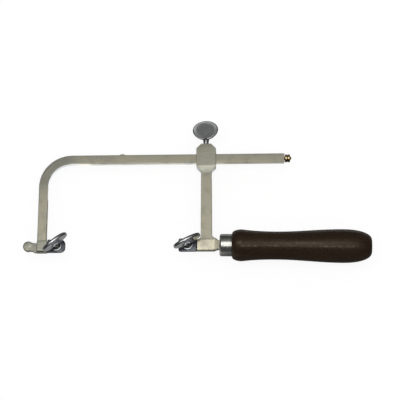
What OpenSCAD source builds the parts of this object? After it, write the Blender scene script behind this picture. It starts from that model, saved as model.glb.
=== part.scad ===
// Adjustable fret saw frame, lying on its back. All sizes are in millimetres.
// The pieces are laid out from the front clamp screw: its axis is x = 0, the blade line is y = 0 and
// the plane that the blade lies in is z = 0. in_frame() then moves the whole saw so that the origin
// is at the middle of its underside, with +X towards the handle and +Y towards the spine.

/* [Bow] */
// Height of the bow's bar, seen from the front
bar_w = 8; // [6:0.5:10]
// Thickness of the bar
bar_t = 5; // [4:0.25:6]
// Chamfer along the edges of the bar
bar_edge = 0.5; // [0.2:0.1:0.9]
// From the blade line up to the underside of the spine
throat_depth = 75; // [60:1:120]
// Inside radius of the bend between the leg and the spine
bend_r = 20.5; // [10:0.5:28]
// From the leg's inner face to the free end of the spine
spine_reach = 206; // [190:1:240]
// From the leg's inner face to the middle of the stop on the spine
stop_at = 64.3; // [50:1:80]
// Length of the stop along the spine
stop_len = 4.8; // [3:0.2:8]
// How far the stop stands above the spine
stop_h = 0.7; // [0.4:0.1:1.2]

/* [Front foot] */
// Radius of the round nose
nose_r = 4.5; // [3:0.25:6]
// Thickness of the nose and its neck
nose_t = 4; // [3:0.25:6]
// From the outer side of the foot to the middle of the nose
nose_reach = 7.4; // [6:0.1:12]
// How far the middle of the nose lies below the blade line
nose_drop = 0; // [0:0.1:2.5]
// Height of the nose's neck where it leaves the foot
nose_neck = 8.6; // [4:0.2:9]
// Width of the thick part of the foot, under the leg
foot_w = 9; // [8:0.1:12]
// Thickness of the foot
foot_t = 6.8; // [6:0.2:9]
// Height of the foot above the blade line
foot_top = 4.6; // [3:0.2:8]

/* [Clamps] */
// Length of a clamp plate
plate_len = 15.6; // [12:0.2:20]
// Width of a clamp plate
plate_w = 11.8; // [9.6:0.2:14]
// Thickness of a clamp plate
plate_t = 2.2; // [1.6:0.2:4]
// Chamfer at the two free corners of a plate
plate_corner = 2; // [1:0.2:3]
// How far a clamp plate stands over the jaw below it
jaw_inset = 1.2; // [0:0.1:1.6]
// Distance between the two clamp screws as set in this pose
jaw_spacing = 113; // [90:1:150]

/* [Thumbscrews] */
// Diameter of the screws
screw_d = 5; // [4:0.5:6]
// Width of a clamp screw's oval head
clamp_head_w = 25.2; // [18:0.2:32]
// Height of a clamp screw's oval head
clamp_head_h = 13.5; // [10:0.5:20]
// Width of the collar screw's oval head
collar_head_w = 22.5; // [16:0.2:30]
// Height of the collar screw's oval head
collar_head_h = 16.8; // [12:0.1:24]
// Thickness of the oval heads
head_t = 3; // [2:0.2:4]
// Diameter of the shoulder on a clamp screw
shoulder_d = 9.4; // [8.4:0.2:9.4]
// Thickness of the shoulder
shoulder_t = 1.5; // [1:0.1:3]
// From the shoulder to the bottom of the oval
clamp_neck = 2.8; // [0.5:0.1:4]
// From the top of the collar to the bottom of the oval
collar_neck = 6.2; // [4:0.1:10]
// Turn of the front clamp screw's head from the blade line, in degrees
front_head_turn = 38; // [0:1:90]
// Turn of the rear clamp screw's head from the blade line, in degrees
rear_head_turn = 27; // [0:1:90]
// Turn of the collar screw's head from the plane of the saw, in degrees
collar_head_turn = 4; // [0:1:90]

/* [Sliding arm] */
// Width of the collar that slides along the spine
collar_w = 17.4; // [14:0.2:22]
// Depth of the collar from front to back
collar_t = 10; // [8.5:0.25:14]
// Metal above the spine, which holds the thumbscrew
collar_above = 8.9; // [7:0.1:12]
// Metal below the spine
collar_below = 3.7; // [3:0.1:6]
// Width of the flat on top of the collar
collar_top_w = 8.4; // [7:0.2:12]
// Width of the arm just below the collar
arm_top_w = 9.4; // [8:0.2:11]
// Length of arm below the collar's shoulders that its slope runs down to
collar_tail = 1.7; // [0:0.1:4]
// Width of the arm just above the jaw block
arm_bottom_w = 10.2; // [8:0.2:12]
// Thickness of the arm
arm_t = 5; // [4:0.25:6]
// Width of the jaw block
block_w = 16; // [14:0.2:22]
// Thickness of the jaw block
block_t = 6.8; // [6:0.2:9]
// Height of the jaw block above the blade line
block_top = 4.8; // [4.6:0.1:5]
// Height of the jaw block below the blade line
block_bottom = 5; // [4:0.1:6]

/* [End stop screw] */
// Diameter of the brass screw's thread
end_screw_d = 3; // [2.5:0.25:3.5]
// Length of its thread in the spine
end_screw_len = 9; // [6:0.5:14]
// Diameter of its two beads
bead_d = 7; // [6.4:0.1:8]
// Length of one bead
bead_len = 2.3; // [1.6:0.1:3]
// Length of its tip
tip_len = 1.1; // [0.6:0.1:2]

/* [Handle] */
// Length of the ferrule
ferrule_len = 10.5; // [8:0.5:16]
// Outer diameter of the ferrule
ferrule_d = 19.2; // [17:0.2:20]
// Wall of the ferrule
ferrule_wall = 1; // [0.6:0.1:1.5]
// Bare length of the tang between the jaw block and the ferrule
tang_show = 3.7; // [2:0.1:8]
// Height of the tang where it enters the ferrule
tang_h = 8; // [6:0.2:8.6]
// Thickness of the tang
tang_t = 4.5; // [3:0.25:5]
// Length of the tang inside the ferrule and the handle
tang_len = 62; // [40:1:90]
// Length of the handle beyond the ferrule
handle_len = 120.6; // [105:1:140]
// How far the middle of the handle lies above the blade line
handle_rise = 0; // [0:0.1:0.8]
// Droop of the handle from the blade line, in degrees
handle_droop = 1; // [0:0.1:2]
// Diameter of the handle's crest, just behind the ferrule
crest_d = 27.4; // [25:0.2:32]
// From the ferrule to that crest
crest_at = 8.5; // [6:0.5:12]
// Diameter at the waist
waist_d = 24.1; // [20:0.2:26]
// From the ferrule to the waist
waist_at = 38; // [30:1:45]
// Largest diameter, near the butt
belly_d = 28.9; // [26:0.2:34]
// From the ferrule to the largest diameter
belly_at = 95; // [80:1:100]
// Diameter of the flat on the butt
butt_d = 10.4; // [6:0.2:14]

/* [Clearances] */
// Sliding gap between the collar and the spine, on each side
slide_gap = 0.1; // [0.05:0.05:0.3]
// Radial gap of a screw in its tapped hole
thread_gap = 0.05; // [0.03:0.01:0.1]
// Radial gap of a screw in its plate
plate_hole_gap = 0.2; // [0.1:0.05:0.4]
// Gap between a plate's square end and the shoulder beside it
plate_end_gap = 0.1; // [0.05:0.05:0.3]
// Gap between the handle, its ferrule and the tang
wood_gap = 0.05; // [0.02:0.01:0.1]

/* [Hidden] */
$fn = 96;
// Overrun of every cut, which is also how far joined solids reach into each other
over = 0.5;
// Chamfer of the edges of forged blocks
forged_edge = 0.6;
// How far the foot reaches past the leg's inner face
foot_step = 0.8;
// Gap between the end of the spine and the first bead
bead_gap = 0.4;
// Thickness of the ferrule's front lip
ferrule_lip = 1.2;
// Radius of the ferrule's front edge
ferrule_round = 1.8;
// Step from the ferrule down to the start of the wood
wood_step = 0.6;
// Room beyond the end of the tang
tang_room = 1;
// Height of the tang at its far end
tang_tip_h = 3.5;
// Points on the handle's outline in each of its four stretches
outline_steps = 10;
// Points round the oval of a head
oval_steps = 60;
// How steeply the handle falls from its crest to its waist
crest_fall = 2.2;
// Fullness of the handle's butt, where 2 is an ellipse
butt_fullness = 2.2;
// Height at which the flare under an oval head begins, as a share of the head's height
flare_share = 0.28;
// Width of that flare where it meets the oval, as a share of the head's width
flare_width_share = 0.42;
// Radius of the groove between the beads, as a share of their radius
groove_share = 0.7;
// Radius of the brass screw's tip, as a share of the beads' radius
tip_share = 0.42;

spine_y = throat_depth + bar_w / 2;
spine_top = throat_depth + bar_w;
foot_x = -(plate_len / 2 + plate_end_gap);
leg_x = foot_x - foot_step;
foot_left = foot_x - foot_w;
nose_x = foot_left - nose_reach;
spine_end = leg_x + spine_reach;
block_left = jaw_spacing + plate_len / 2 + plate_end_gap;
arm_x = block_left + block_w / 2;
block_right = block_left + block_w;
collar_top = spine_top + collar_above;
collar_low = throat_depth - collar_below;
collar_arm_y = collar_low - (collar_w - arm_top_w) / 2;
collar_tail_y = collar_arm_y - collar_tail;
fillet_r = (block_w - arm_bottom_w) / 2;
ferrule_x = block_right + tang_show;
handle_reach = tang_show + ferrule_len + handle_len;
belly_reach = tang_show + ferrule_len + belly_at;
bead_x = spine_end + bead_gap;
head_reach = collar_neck + collar_head_h;
neck_d = screw_d;
tang_clear_r = norm([tang_h / 2, tang_t / 2]) + 2 * wood_gap;
bore_r = ferrule_d / 2 - ferrule_wall;

x_min = nose_x - nose_r;
x_max = block_right + handle_reach * cos(handle_droop) + butt_d / 2 * sin(handle_droop);
y_min = handle_rise - belly_reach * sin(handle_droop) - belly_d / 2 * cos(handle_droop);
y_max = collar_top + head_reach;
z_min = -belly_d / 2;

// Moves the layout so that the origin is under the middle of the saw
module in_frame() {
    translate([-(x_min + x_max) / 2, -(y_min + y_max) / 2, -z_min]) children();
}

// Block between two opposite corners
module span(low, high) {
    translate(low) cube(high - low);
}

// Rectangle with its corners cut off, centred
module cut_rectangle(size, c) {
    x = size[0] / 2;
    y = size[1] / 2;
    polygon([
        [x - c, -y], [x, c - y], [x, y - c], [x - c, y],
        [c - x, y], [-x, y - c], [-x, c - y], [c - x, -y]
    ]);
}

// Section of the bar, with x as its height and y as its thickness
module bar_section() {
    cut_rectangle([bar_w, bar_t], bar_edge);
}

// Straight bar along +X from the origin, its height along Y
module bar(len) {
    rotate([0, 90, 0]) rotate([0, 0, 90]) linear_extrude(len) bar_section();
}

// Outline of a clamp plate about its screw, with its square end at -X
module plate_outline() {
    x = plate_len / 2;
    y = plate_w / 2;
    c = plate_corner;
    polygon([[-x, -y], [x - c, -y], [x, c - y], [x, y - c], [x - c, y], [-x, y]]);
}

// Fixed jaw under a clamp plate, a little smaller than it and joined at -X to the block that carries it
module jaw(thickness) {
    x = plate_len / 2 - jaw_inset;
    y = plate_w / 2 - jaw_inset;
    c = plate_corner - jaw_inset / 2;
    back = -plate_len / 2 - plate_end_gap - over;
    translate([0, 0, -thickness]) linear_extrude(thickness)
        polygon([[back, -y], [x - c, -y], [x, c - y], [x, y - c], [x - c, y], [back, y]]);
}

module clamp_plate() {
    difference() {
        linear_extrude(plate_t) plate_outline();
        translate([0, 0, -over]) cylinder(h = plate_t + 2 * over, d = screw_d + 2 * plate_hole_gap);
    }
}

// Outline of an oval head standing on the origin, with the flare that joins it to its neck
function oval_point(w, h, a) = [w / 2 * cos(a), h / 2 * (1 + sin(a))];
module spade_outline(w, h) {
    polygon([for (i = [0:oval_steps - 1]) oval_point(w, h, 360 * i / oval_steps)]);
    x = w * flare_width_share / 2;
    y = h * flare_share;
    polygon([[-neck_d / 2, 0], [neck_d / 2, 0], [x, y], [-x, y]]);
}

// Oval head on its neck, standing along +Z, with its width along X
module spade_head(w, h, neck) {
    translate([0, head_t / 2, 0]) rotate([90, 0, 0]) linear_extrude(head_t) spade_outline(w, h);
    translate([0, 0, -neck]) cylinder(h = neck + h * flare_share / 2, d = neck_d);
}

// Clamp screw with its shoulder on the plate and its end flush with the back of the jaw
module clamp_screw(turn, depth) {
    translate([0, 0, -depth]) cylinder(h = depth + plate_t + over, d = screw_d);
    translate([0, 0, plate_t]) cylinder(h = shoulder_t, d = shoulder_d);
    rotate([0, 0, turn]) translate([0, 0, plate_t + shoulder_t + clamp_neck])
        spade_head(clamp_head_w, clamp_head_h, clamp_neck + over);
}

module spine_and_leg() {
    translate([leg_x + bend_r, spine_y, 0]) bar(spine_reach - bend_r);
    translate([leg_x + bend_r, throat_depth - bend_r, 0]) rotate([0, 0, 90])
        rotate_extrude(angle = 90) translate([bend_r + bar_w / 2, 0]) bar_section();
    translate([leg_x - bar_w / 2, 0, 0]) rotate([0, 0, 90]) bar(throat_depth - bend_r);
}

// Small rounded stop that limits how far the collar slides towards the leg
module spine_stop() {
    r = (pow(stop_len / 2, 2) + pow(stop_h, 2)) / (2 * stop_h);
    x = leg_x + stop_at;
    intersection() {
        translate([x, spine_top + stop_h - r, 0])
            cylinder(h = bar_t - 2 * bar_edge, r = r, center = true);
        span([x - stop_len, spine_y, -bar_t / 2], [x + stop_len, spine_top + 2 * stop_h, bar_t / 2]);
    }
}

module foot() {
    low = -plate_w / 2;
    translate([(foot_left + foot_x) / 2, (foot_top + low) / 2, -foot_t / 2])
        linear_extrude(foot_t) cut_rectangle([foot_w, foot_top - low], forged_edge);
    jaw(foot_t / 2);
    translate([nose_x, -nose_drop, -nose_t / 2]) cylinder(h = nose_t, r = nose_r);
    neck_top = low + nose_neck;
    translate([0, 0, -nose_t / 2]) linear_extrude(nose_t) polygon([
        [foot_left + forged_edge, low], [foot_left + forged_edge, neck_top],
        [nose_x, neck_top - forged_edge + over], [nose_x, low + forged_edge + over],
        [nose_x + nose_r, low + forged_edge + over]
    ]);
}

module bow() {
    color("#9c998c") in_frame() difference() {
        union() {
            spine_and_leg();
            spine_stop();
            foot();
        }
        translate([0, 0, -foot_t]) cylinder(h = 2 * foot_t, r = screw_d / 2 + thread_gap);
        translate([spine_end - end_screw_len - over, spine_y, 0]) rotate([0, 90, 0])
            cylinder(h = end_screw_len + 2 * over, r = end_screw_d / 2 + thread_gap);
    }
}

module front_clamp_plate() {
    color("#2c3340") in_frame() clamp_plate();
}

module front_clamp_screw() {
    color("#77787a") in_frame() clamp_screw(front_head_turn, foot_t / 2);
}

// Turns a clamp about the rear screw so that its square end faces the jaw block
module at_rear_clamp() {
    translate([jaw_spacing, 0, 0]) mirror([1, 0, 0]) children();
}

// Collar as the overlap of its front outline and its side outline
module collar_body() {
    x = collar_w / 2;
    xt = collar_top_w / 2;
    xa = arm_top_w / 2;
    z = collar_t / 2;
    za = arm_t / 2;
    intersection() {
        translate([arm_x, 0, -z]) linear_extrude(collar_t) polygon([
            [bar_edge - xa, collar_tail_y], [xa - bar_edge, collar_tail_y], [xa, collar_arm_y],
            [x, collar_low], [x, collar_top - x + xt], [xt, collar_top], [-xt, collar_top],
            [-x, collar_top - x + xt], [-x, collar_low], [-xa, collar_arm_y]
        ]);
        translate([arm_x - x, 0, 0]) rotate([90, 0, 90]) linear_extrude(collar_w) polygon([
            [collar_tail_y, -za], [collar_low + collar_below / 2, -z], [collar_top - forged_edge, -z],
            [collar_top, forged_edge - z], [collar_top, z - forged_edge], [collar_top - forged_edge, z],
            [collar_low + collar_below / 2, z], [collar_tail_y, za]
        ]);
    }
}

// Flat arm, widening with a fillet on each side into the jaw block
module arm_body() {
    top = collar_arm_y + over;
    foot_y = block_top + fillet_r;
    translate([arm_x, 0, -arm_t / 2]) linear_extrude(arm_t) polygon([
        [-arm_top_w / 2, top], [-arm_bottom_w / 2, foot_y], [-arm_bottom_w / 2, 0],
        [arm_bottom_w / 2, 0], [arm_bottom_w / 2, foot_y], [arm_top_w / 2, top]
    ]);
    difference() {
        span([block_left, 0, -arm_t / 2], [block_right, foot_y, arm_t / 2]);
        for (x = [block_left, block_right])
            translate([x, foot_y, -arm_t]) cylinder(h = 2 * arm_t, r = fillet_r);
    }
}

module jaw_block() {
    h = block_top + block_bottom;
    translate([arm_x, (block_top - block_bottom) / 2, 0]) rotate([90, 0, 0])
        linear_extrude(h, center = true) cut_rectangle([block_w, block_t], forged_edge);
    at_rear_clamp() jaw(block_t / 2);
}

// Outline of the tang from the jaw block to its tip, grown by a gap
module tang_outline(gap) {
    h = tang_h / 2 + gap;
    tip = tang_tip_h / 2 + gap;
    far = ferrule_x + tang_len + (gap > 0 ? tang_room : 0);
    polygon([
        [block_right - over, -h], [ferrule_x, -h], [far, -tip],
        [far, tip], [ferrule_x, h], [block_right - over, h]
    ]);
}

// Places what lies along the handle, from the root of the tang at the origin
module along_handle() {
    translate([block_right, handle_rise, 0]) rotate([0, 0, -handle_droop]) children();
}

module tang(gap) {
    along_handle() translate([-block_right, 0, -tang_t / 2 - gap])
        linear_extrude(tang_t + 2 * gap) tang_outline(gap);
}

module sliding_arm() {
    z = bar_t / 2 + slide_gap;
    color("#a5a295") in_frame() difference() {
        union() {
            collar_body();
            arm_body();
            jaw_block();
            tang(0);
        }
        span(
            [arm_x - collar_w, throat_depth - slide_gap, -z],
            [arm_x + collar_w, spine_top + slide_gap, z]
        );
        translate([arm_x, collar_top + over, 0]) rotate([90, 0, 0])
            cylinder(h = collar_above + 2 * over, r = screw_d / 2 + thread_gap);
        translate([jaw_spacing, 0, -block_t]) cylinder(h = 2 * block_t, r = screw_d / 2 + thread_gap);
    }
}

module rear_clamp_plate() {
    color("#2c3340") in_frame() at_rear_clamp() clamp_plate();
}

module rear_clamp_screw() {
    color("#77787a") in_frame() translate([jaw_spacing, 0, 0]) clamp_screw(rear_head_turn, block_t / 2);
}

// Thumbscrew in the top of the collar, which presses on the spine
module collar_screw() {
    reach = collar_above - slide_gap;
    color("#6d6f70") in_frame() translate([arm_x, collar_top, 0]) rotate([-90, 0, 0])
        rotate([0, 0, -collar_head_turn]) {
            translate([0, 0, -reach]) cylinder(h = reach + over, d = screw_d);
            translate([0, 0, collar_neck]) spade_head(collar_head_w, collar_head_h, collar_neck);
        }
}

// Round bead about the Z axis, starting at z = at
module bead(at, r) {
    e = bead_len / 2;
    rotate_extrude() {
        translate([0, at]) square([r - e, bead_len]);
        translate([r - e, at + e]) intersection() {
            circle(r = e);
            translate([0, -e]) square([e, bead_len]);
        }
    }
}

// Turned brass screw in the end of the spine, wider than the bar is thick
module end_stop_screw() {
    r = bead_d / 2;
    head = 2 * bead_len;
    tip_r = r * tip_share;
    color("#b58f3e") in_frame() translate([bead_x, spine_y, 0]) rotate([0, 90, 0]) {
        translate([0, 0, -bead_gap - end_screw_len])
            cylinder(h = bead_gap + end_screw_len + over, d = end_screw_d);
        bead(0, r);
        bead(bead_len, r);
        cylinder(h = head, r = r * groove_share);
        translate([0, 0, head - over])
            cylinder(h = tip_len + over, r1 = tip_r + over / 2, r2 = tip_r / 2);
    }
}

module ferrule() {
    r = ferrule_d / 2;
    e = ferrule_round;
    color("#8d8e8e") in_frame() along_handle() translate([tang_show, 0, 0]) rotate([0, 90, 0]) difference() {
        union() {
            translate([0, 0, e]) cylinder(h = ferrule_len - e, r = r);
            cylinder(h = ferrule_len, r = r - e);
            rotate_extrude() translate([r - e, e]) intersection() {
                circle(r = e);
                translate([0, -e]) square(e);
            }
        }
        translate([0, 0, ferrule_lip]) cylinder(h = ferrule_len, r = bore_r);
        translate([0, 0, -over]) cylinder(h = ferrule_len, r = tang_clear_r);
    }
}

// Outline of the wood as [radius, distance from the ferrule], in four stretches
wood_start = ferrule_d / 2 + wood_step;
function crest_point(t) = [
    wood_start + (crest_d / 2 - wood_start) * sqrt(1 - pow(1 - t, 2)),
    crest_at * t
];
function waist_point(t) = [
    waist_d / 2 + (crest_d - waist_d) / 2 * pow(1 - t, crest_fall),
    crest_at + (waist_at - crest_at) * t
];
function belly_point(t) = [
    waist_d / 2 + (belly_d - waist_d) / 2 * (1 - cos(180 * t)) / 2,
    waist_at + (belly_at - waist_at) * t
];
function butt_point(t) = [
    butt_d / 2 + (belly_d - butt_d) / 2 * pow(cos(90 * t), 2 / butt_fullness),
    belly_at + (handle_len - belly_at) * pow(sin(90 * t), 2 / butt_fullness)
];
function shares(n) = [for (i = [1:n]) i / n];

module handle() {
    n = outline_steps;
    nose_len = ferrule_len - ferrule_lip - wood_gap;
    color("#33241c") in_frame() difference() {
        along_handle() translate([tang_show + ferrule_len, 0, 0]) rotate([0, 90, 0]) {
            rotate_extrude() polygon(concat(
                [[0, 0], [wood_start, 0]],
                [for (t = shares(n)) crest_point(t)],
                [for (t = shares(n)) waist_point(t)],
                [for (t = shares(n)) belly_point(t)],
                [for (t = shares(n)) butt_point(t)],
                [[0, handle_len]]
            ));
            translate([0, 0, -nose_len]) cylinder(h = nose_len + over, r = bore_r - wood_gap);
        }
        tang(wood_gap);
    }
}

bow();
front_clamp_plate();
front_clamp_screw();
sliding_arm();
rear_clamp_plate();
rear_clamp_screw();
collar_screw();
end_stop_screw();
ferrule();
handle();
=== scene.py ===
"""Fret saw frame lying on its back on a pale table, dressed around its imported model.

Shapes are modelled in millimetres in the saw's own layout: x runs along the blade line from the
front clamp screw, y from the blade line to the spine, and z up from the plane of the blade. Each
finished piece is then moved to the row frame in metres.
"""
import math

import bmesh
import bpy
from mathutils import Matrix, Vector

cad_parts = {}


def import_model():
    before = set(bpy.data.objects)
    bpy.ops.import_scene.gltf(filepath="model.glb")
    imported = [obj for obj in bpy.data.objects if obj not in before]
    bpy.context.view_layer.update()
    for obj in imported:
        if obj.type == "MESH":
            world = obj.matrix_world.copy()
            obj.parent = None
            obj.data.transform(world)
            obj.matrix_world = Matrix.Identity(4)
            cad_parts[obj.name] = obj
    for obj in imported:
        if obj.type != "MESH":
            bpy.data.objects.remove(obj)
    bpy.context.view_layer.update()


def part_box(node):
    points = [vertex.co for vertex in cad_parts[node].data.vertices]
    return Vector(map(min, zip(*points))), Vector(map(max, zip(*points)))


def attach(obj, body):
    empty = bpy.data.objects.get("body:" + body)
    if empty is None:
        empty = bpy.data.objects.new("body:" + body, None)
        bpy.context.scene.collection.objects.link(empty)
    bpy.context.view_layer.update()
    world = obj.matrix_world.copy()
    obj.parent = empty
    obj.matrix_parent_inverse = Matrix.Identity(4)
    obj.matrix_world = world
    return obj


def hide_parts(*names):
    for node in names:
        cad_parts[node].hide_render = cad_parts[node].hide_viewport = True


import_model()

# Sizes taken from the frame, in millimetres of the saw's layout
MM = 0.001
PLATE_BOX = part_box("front_clamp_plate")
LAYOUT_ORIGIN = Vector((
    (PLATE_BOX[0].x + PLATE_BOX[1].x) / 2,
    (PLATE_BOX[0].y + PLATE_BOX[1].y) / 2,
    PLATE_BOX[0].z,
))


def node_span(node):
    """Lowest and highest corner of a CAD node in the saw's layout."""
    low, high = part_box(node)
    return (low - LAYOUT_ORIGIN) / MM, (high - LAYOUT_ORIGIN) / MM


plate_low, plate_high = node_span("front_clamp_plate")
rear_plate_low, rear_plate_high = node_span("rear_clamp_plate")
bow_low, bow_high = node_span("bow")
end_screw_low, end_screw_high = node_span("end_stop_screw")

# Bow
BAR_W = 8.0
BAR_T = 5.0
BAR_EDGE = 0.6
SPINE_END_EDGE = 0.35
THROAT = 75.0
BEND_R = 20.5
STOP_AT = 64.3
STOP_LEN = 4.8
STOP_H = 1.0
STOP_EDGE = 0.3
END_SCREW_D = 3.0
END_HOLE_DEPTH = 9.5

# Front foot
FOOT_W = 9.0
FOOT_TOP = 4.6
FOOT_STEP = 0.8
FOOT_LEAN = 1.3
FORGED_EDGE = 0.8
FOOT_WORN_EDGE = 2.0
JAW_INSET = 1.2
JAW_EDGE = 0.5

# Nose: a domed disc that leans, on a neck whose edges rise from the foot towards it
NOSE_R = 4.5
NOSE_T = 4.0
NOSE_EDGE = 0.9
NOSE_DOME = 0.18
NOSE_LEAN = 4.8
NOSE_NECK_H = 8.6
NOSE_NECK_EDGE = 0.6
NOSE_NECK_OVERLAP = 2.0
NOSE_NECK_BEND = 1.2
NOSE_NECK_SWELL = 0.4
NOSE_NECK_LOW_RISES = (1.8, 1.5, 0.3, 0.2)
NOSE_NECK_TOP_RISES = (0.0, 0.0, 0.5, 1.0)

# Clamps
PLATE_END_GAP = 0.1
FRONT_CORNER_R = 4.4
REAR_CORNER_R = 1.8
PLATE_CHAMFER = 0.7
PLATE_LOWER_EDGE = 0.2
SCREW_D = 5.0
HOLE_GAP = 0.05
PLATE_HOLE_GAP = 0.2

# Threads, whose lead is given in thread depths and whose rings are counted per turn
THREAD_PITCH = 0.8
THREAD_DEPTH = 0.4
THREAD_LEAD = 1.2
THREAD_RINGS = 8
THREAD_TURN = 1.0  # degrees, keeps the edges of a thread off those of its shoulder
END_THREAD_PITCH = 0.5
END_THREAD_DEPTH = 0.25

# Thumbscrew heads
CLAMP_HEAD = (25.2, 13.5)
COLLAR_HEAD = (22.5, 16.8)
HEAD_T = 3.0
HEAD_CROWN = 0.85
HEAD_HOLLOW = 0.12
HOLLOW_W = 4.2
FLUTES = 36
FLUTE_LEN = 3.4
FLUTE_DEPTH = 0.07
FLUTE_POINTS = 6
FRONT_HEAD_TURN = 38.0
REAR_HEAD_TURN = 27.0
COLLAR_HEAD_TURN = 4.0
COLLAR_HEAD_LEAN = 3.6
COLLAR_HEAD_DROP = 1.0
COLLAR_HEAD_FULLNESS = 1.8

# Necks under the heads, whose flare is given in shares of the head's size
CLAMP_NECK = 2.8
CLAMP_NECK_TUCK = 0.6
COLLAR_NECK = 6.2
COLLAR_NECK_DROP = 0.9
COLLAR_NECK_LIFT = 0.4
COLLAR_WAIST_D = 4.0
COLLAR_SHANK_SHOW = 0.8
FLARE_H = 0.17
FLARE_W = 0.34
FLARE_START = 0.2
FLARE_INSET = 0.3

# Shoulder of a clamp screw
SHOULDER_D = 9.4
SHOULDER_T = 1.5
SHOULDER_CROWN = 0.2
SHOULDER_CROWN_R = 3.9
SHOULDER_EDGE = 0.2
SHOULDER_FIT = 0.1
SHOULDER_CONE = 0.3
SHANK_TUCK = 0.2
# how far over the neck's top the painted shade under a head fades out
HEAD_SHADE_H = 2.5

# Collar: in its side outline it steps out from the arm, slopes to a blunt bend and is flat above
COLLAR_W = 17.4
COLLAR_T = 10.0
COLLAR_ABOVE = 8.9
COLLAR_BELOW = 3.7
COLLAR_TOP_W = 8.4
COLLAR_EDGE = 0.9
COLLAR_TAIL = 1.7
COLLAR_STEP = 0.25
COLLAR_BEND_UP = 0.2
COLLAR_BEND_HALF = 0.4
COLLAR_BEND_LOW = 0.57
COLLAR_BEND_HIGH = 0.45
COLLAR_FLAT_AT = 3.5
COLLAR_DULLNESS = 0.8
SINK_W = 0.6
SINK_DEPTH = 0.5
SLIDE_GAP = 0.1

# Arm and rear block. The flare's points lie right of the block and above the blade line
ARM_SHIFT = 0.35
ARM_TOP_W = 9.3
ARM_BOTTOM_W = 9.8
ARM_T = 5.0
ARM_EDGE = 0.5
ARM_ROOT = 1.0
ARM_FILLET_UP = 1.1
ARM_SHARP_BELOW = 2.8
ARM_FLARE = ((2.2, 3.9), (1.6, 4.9), (0.6, 5.7))
BLOCK_W = 16.0
BLOCK_TOP = 4.8
BLOCK_BOTTOM = 5.4
BLOCK_LEAN = 6.5
BLOCK_WORN_EDGE = 1.0

# Tang, and the tapered root between it and the block
ROOT_LEN = 2.4
ROOT_TOP = 4.0
ROOT_BOTTOM = 3.9
ROOT_OVERLAP = 1.0
ROOT_INSET = 0.3
ROOT_STEP = 0.1
ROOT_EDGE = 0.4
TANG_H = 8.0
TANG_T = 4.5
TANG_LEN = 62.0
TANG_TIP_H = 3.5
TANG_EDGE = 0.5
TANG_OVERLAP = 2.0
TANG_ROOM = 1.0
TANG_SHOW = 3.7

# End stop screw, whose tip is given in shares of the bead's radius and of the tip's length
BEAD_LEN = 2.3
BEAD_GAP = 0.4
BEAD_FULLNESS = 0.6
BEAD_TUCK = 0.2
BEAD_FIT = 0.1
BEAD_CONE = 0.4
TIP_SHARE = 0.42
TIP_CONE = 0.3
TIP_TAPER = ((1.0, 0.6), (0.8, 0.9), (0.5, 1.0))

# Ferrule and handle
HANDLE_DROOP = 1.0
FERRULE_LEN = 10.5
FERRULE_R = 9.6
FERRULE_WALL = 1.0
FERRULE_LIP = 1.2
FERRULE_ROUND = 1.8
FERRULE_EDGE = 0.2
GROOVE_AT = 1.15
GROOVE_HALF = 0.15
GROOVE_DEPTH = 0.12
TANG_HOLE_R = 4.7
WOOD_GAP = 0.05
WOOD_STEP = 0.6
WOOD_EDGE = 0.15
CREST_D = 27.4
CREST_AT = 8.5
CREST_FALL = 2.2
WAIST_D = 24.1
WAIST_AT = 38.0
BELLY_AT = 95.0
BELLY_D = 28.9
BUTT_D = 10.4
HANDLE_LEN = 119.8
BUTT_FULLNESS = 2.2

# Places that follow from those sizes
PLATE_LEN = plate_high.x - plate_low.x
PLATE_W = plate_high.y - plate_low.y
PLATE_T = plate_high.z
FOOT_T = 2 * bow_high.z
BLOCK_T = 2 * max(bow_high.z, BAR_T / 2)
REAR_X = (rear_plate_low.x + rear_plate_high.x) / 2
FOOT_X = plate_low.x - PLATE_END_GAP
LEG_X = FOOT_X - FOOT_STEP
FOOT_LEFT = FOOT_X - FOOT_W
NOSE_X = bow_low.x + NOSE_R
SPINE_Y = THROAT + BAR_W / 2
SPINE_TOP = THROAT + BAR_W
SPINE_END = bow_high.x
BEND_X = LEG_X + BEND_R
BEND_Y = THROAT - BEND_R
BLOCK_LEFT = rear_plate_high.x + PLATE_END_GAP
ARM_X = BLOCK_LEFT + BLOCK_W / 2
BLOCK_RIGHT = BLOCK_LEFT + BLOCK_W
COLLAR_TOP = SPINE_TOP + COLLAR_ABOVE
COLLAR_LOW = THROAT - COLLAR_BELOW
COLLAR_ARM_Y = COLLAR_LOW - (COLLAR_W - ARM_TOP_W) / 2
COLLAR_TAIL_Y = COLLAR_ARM_Y - COLLAR_TAIL
BEAD_X = SPINE_END + BEAD_GAP
BEAD_R = (end_screw_high.y - end_screw_low.y) / 2
TIP_LEN = end_screw_high.x - BEAD_X - 2 * BEAD_LEN

# How finely round shapes are divided
ROUND_STEPS = 96
HOLE_STEPS = 64
THREAD_STEPS = 48
END_THREAD_STEPS = 40
HANDLE_STEPS = 128
BEND_STEPS = 36
SCREEN_STEPS = 64
PROFILE_STEPS = 24

OVERRUN = 0.5
NEAR = 0.01
CREASE = math.radians(28)


# Modelling

def arc(x, y, radius, start, end, steps):
    """Points on a circle from one angle to another, in degrees."""
    angles = [math.radians(start + (end - start) * i / steps) for i in range(steps + 1)]
    return [(x + radius * math.cos(a), y + radius * math.sin(a)) for a in angles]


def box_outline(left, bottom, right, top):
    return [(left, bottom), (right, bottom), (right, top), (left, top)]


def tidy(bm):
    """Merges doubles and turns every face outwards."""
    bmesh.ops.remove_doubles(bm, verts=bm.verts, dist=1e-4)
    bmesh.ops.recalc_face_normals(bm, faces=bm.faces)
    return bm


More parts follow.
